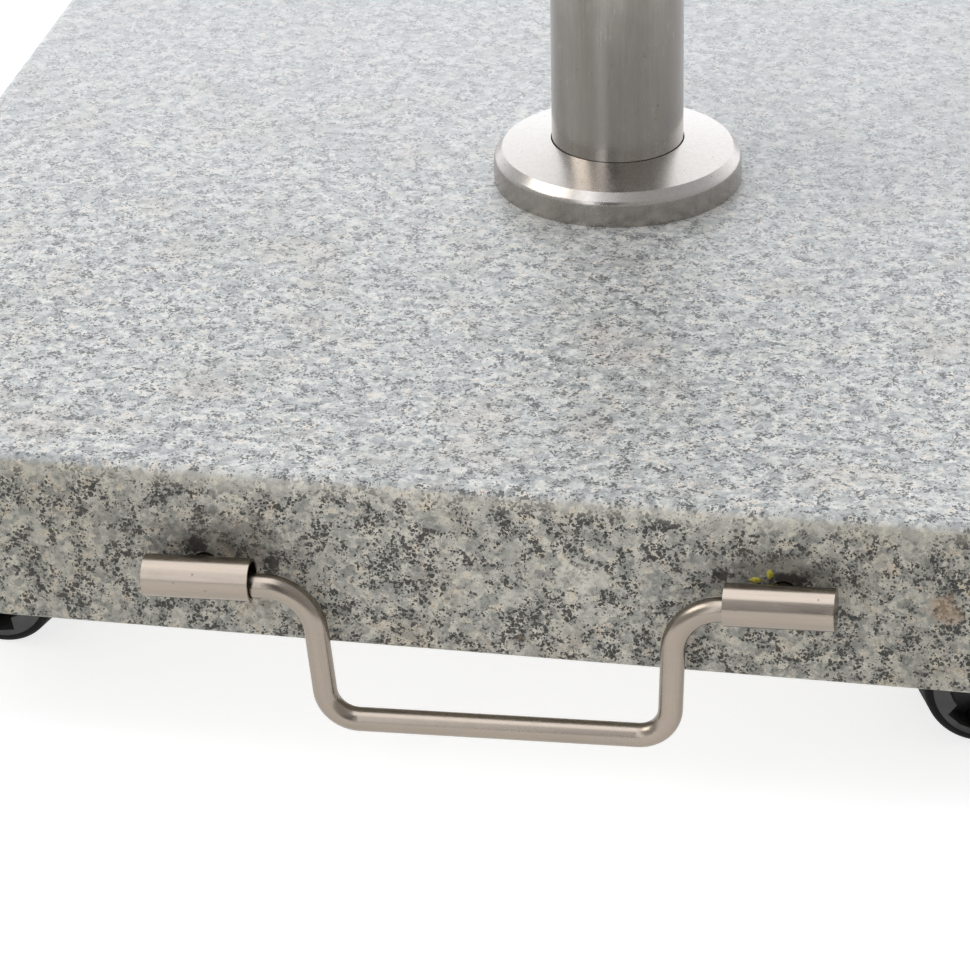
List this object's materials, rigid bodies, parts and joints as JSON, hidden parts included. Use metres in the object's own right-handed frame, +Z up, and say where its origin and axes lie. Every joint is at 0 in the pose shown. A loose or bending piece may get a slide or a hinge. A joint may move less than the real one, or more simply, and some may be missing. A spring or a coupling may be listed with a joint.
{
  "type": "parasol base",
  "caption": "Granite slab parasol base on braked swivel castors, with a steel pole socket, clamp knobs and a fold-out trolley handle.",
  "frame": {"origin": "on the pole axis, at the top of the flange plate on which the foot of the pole stands", "axes": "+Z up along the pole, -Y towards the side with the folding handle, +X towards the clamp knobs"},
  "size_m": [0.5, 0.5159, 0.456],
  "materials": {
    "granite": "honed top, light grey with black mica flecks",
    "stainless": "satin stainless steel",
    "zinc_steel": "bright zinc plate",
    "black_plastic": "fine moulded texture",
    "wheel_plastic": "smooth moulded nylon",
    "tread": "soft black tread",
    "brake_plastic": "grey moulded nylon",
    "plug_plastic": "light grey nylon"
  },
  "bodies": {
    "base": {"granite_slab": "granite", "base_flange": "stainless", "stand_tube": "stainless", "flange_cover": "stainless", "flange_bolts": "zinc_steel", "flange_anchors": "zinc_steel", "reducer_sleeve": "black_plastic", "clamp_boss_lower": "stainless", "clamp_boss_upper": "stainless", "handle_sleeve_left": "stainless", "handle_sleeve_right": "stainless", "handle_studs": "stainless", "sleeve_caps": "stainless", "castor_screws": "zinc_steel", "castor_anchors": "plug_plastic", "castor_stems": "zinc_steel", "stem_clips": "zinc_steel", "thrust_washers": "black_plastic", "castor_plate_front_left": "zinc_steel", "castor_plate_front_right": "zinc_steel", "castor_plate_rear_left": "zinc_steel", "castor_plate_rear_right": "zinc_steel"},
    "handle": {"handle_rod": "stainless"},
    "clamp_pad_lower": {"clamp_pad_lower": "black_plastic"},
    "clamp_knob_lower": {"clamp_screw_lower": "stainless", "clamp_knob_lower": "black_plastic"},
    "clamp_pad_upper": {"clamp_pad_upper": "black_plastic"},
    "clamp_knob_upper": {"clamp_screw_upper": "stainless", "clamp_knob_upper": "black_plastic"},
    "castor_front_left": {"castor_hood_front_left": "black_plastic", "wheel_axle_front_left": "zinc_steel"},
    "wheel_front_left_a": {"wheel_core_front_left_a": "wheel_plastic", "wheel_tread_front_left_a": "tread"},
    "wheel_front_left_b": {"wheel_core_front_left_b": "wheel_plastic", "wheel_tread_front_left_b": "tread"},
    "castor_front_right": {"castor_hood_front_right": "black_plastic", "wheel_axle_front_right": "zinc_steel"},
    "wheel_front_right_a": {"wheel_core_front_right_a": "wheel_plastic", "wheel_tread_front_right_a": "tread"},
    "wheel_front_right_b": {"wheel_core_front_right_b": "wheel_plastic", "wheel_tread_front_right_b": "tread"},
    "castor_rear_left": {"castor_hood_rear_left": "black_plastic", "wheel_axle_rear_left": "zinc_steel", "brake_pin_rear_left": "zinc_steel"},
    "wheel_rear_left_a": {"wheel_core_rear_left_a": "wheel_plastic", "wheel_tread_rear_left_a": "tread"},
    "wheel_rear_left_b": {"wheel_core_rear_left_b": "wheel_plastic", "wheel_tread_rear_left_b": "tread"},
    "brake_rear_left": {"brake_lever_rear_left": "brake_plastic"},
    "castor_rear_right": {"castor_hood_rear_right": "black_plastic", "wheel_axle_rear_right": "zinc_steel", "brake_pin_rear_right": "zinc_steel"},
    "wheel_rear_right_a": {"wheel_core_rear_right_a": "wheel_plastic", "wheel_tread_rear_right_a": "tread"},
    "wheel_rear_right_b": {"wheel_core_rear_right_b": "wheel_plastic", "wheel_tread_rear_right_b": "tread"},
    "brake_rear_right": {"brake_lever_rear_right": "brake_plastic"}
  },
  "joints": [
    {"name": "handle_fold", "type": "hinge", "parent": "base", "child": "handle", "pos_m": [0.00006, -0.2589, -0.0391], "axis": [-0.9995, 0, -0.0314], "range_deg": [-8, 186]},
    {"name": "lower_clamp_travel", "type": "slide", "parent": "base", "child": "clamp_pad_lower", "axis": [-1, 0, 0], "range_m": [0, 0.005]},
    {"name": "lower_clamp_turn", "type": "hinge", "parent": "clamp_pad_lower", "child": "clamp_knob_lower", "pos_m": [0.044, 0, 0.11], "axis": [-1, 0, 0], "range_deg": [0, 1440]},
    {"name": "upper_clamp_travel", "type": "slide", "parent": "base", "child": "clamp_pad_upper", "axis": [-1, 0, 0], "range_m": [0, 0.005]},
    {"name": "upper_clamp_turn", "type": "hinge", "parent": "clamp_pad_upper", "child": "clamp_knob_upper", "pos_m": [0.044, 0, 0.25], "axis": [-1, 0, 0], "range_deg": [0, 1440]},
    {"name": "castor_swivel_front_left", "type": "hinge", "parent": "base", "child": "castor_front_left", "pos_m": [-0.17, -0.155, -0.066], "axis": [0, 0, 1], "continuous": true},
    {"name": "wheel_spin_front_left_a", "type": "hinge", "parent": "castor_front_left", "child": "wheel_front_left_a", "pos_m": [-0.19038, -0.14992, -0.098], "axis": [-0.2419, -0.9703, 0], "continuous": true},
    {"name": "wheel_spin_front_left_b", "type": "hinge", "parent": "castor_front_left", "child": "wheel_front_left_b", "pos_m": [-0.19038, -0.14992, -0.098], "axis": [-0.2419, -0.9703, 0], "continuous": true},
    {"name": "castor_swivel_front_right", "type": "hinge", "parent": "base", "child": "castor_front_right", "pos_m": [0.17, -0.155, -0.066], "axis": [0, 0, 1], "continuous": true},
    {"name": "wheel_spin_front_right_a", "type": "hinge", "parent": "castor_front_right", "child": "wheel_front_right_a", "pos_m": [0.15053, -0.16287, -0.098], "axis": [0.3746, -0.9272, 0], "continuous": true},
    {"name": "wheel_spin_front_right_b", "type": "hinge", "parent": "castor_front_right", "child": "wheel_front_right_b", "pos_m": [0.15053, -0.16287, -0.098], "axis": [0.3746, -0.9272, 0], "continuous": true},
    {"name": "castor_swivel_rear_left", "type": "hinge", "parent": "base", "child": "castor_rear_left", "pos_m": [-0.17, 0.155, -0.066], "axis": [0, 0, 1], "continuous": true},
    {"name": "wheel_spin_rear_left_a", "type": "hinge", "parent": "castor_rear_left", "child": "wheel_rear_left_a", "pos_m": [-0.17787, 0.17447, -0.098], "axis": [-0.9272, -0.3746, 0], "continuous": true},
    {"name": "wheel_spin_rear_left_b", "type": "hinge", "parent": "castor_rear_left", "child": "wheel_rear_left_b", "pos_m": [-0.17787, 0.17447, -0.098], "axis": [-0.9272, -0.3746, 0], "continuous": true},
    {"name": "brake_pedal_rear_left", "type": "hinge", "parent": "castor_rear_left", "child": "brake_rear_left", "pos_m": [-0.18771, 0.19885, -0.08157], "axis": [0.9272, 0.3746, 0], "range_deg": [0, 22]},
    {"name": "castor_swivel_rear_right", "type": "hinge", "parent": "base", "child": "castor_rear_right", "pos_m": [0.17, 0.155, -0.066], "axis": [0, 0, 1], "continuous": true},
    {"name": "wheel_spin_rear_right_a", "type": "hinge", "parent": "castor_rear_right", "child": "wheel_rear_right_a", "pos_m": [0.17986, 0.17354, -0.098], "axis": [-0.8829, 0.4695, 0], "continuous": true},
    {"name": "wheel_spin_rear_right_b", "type": "hinge", "parent": "castor_rear_right", "child": "wheel_rear_right_b", "pos_m": [0.17986, 0.17354, -0.098], "axis": [-0.8829, 0.4695, 0], "continuous": true},
    {"name": "brake_pedal_rear_right", "type": "hinge", "parent": "castor_rear_right", "child": "brake_rear_right", "pos_m": [0.1922, 0.19675, -0.08157], "axis": [0.8829, -0.4695, 0], "range_deg": [0, 22]}
  ],
  "couplings": [
    {"joint": "lower_clamp_travel", "follows": "lower_clamp_turn", "m_per_rad": 0.00019894},
    {"joint": "upper_clamp_travel", "follows": "upper_clamp_turn", "m_per_rad": 0.00019894}
  ]
}
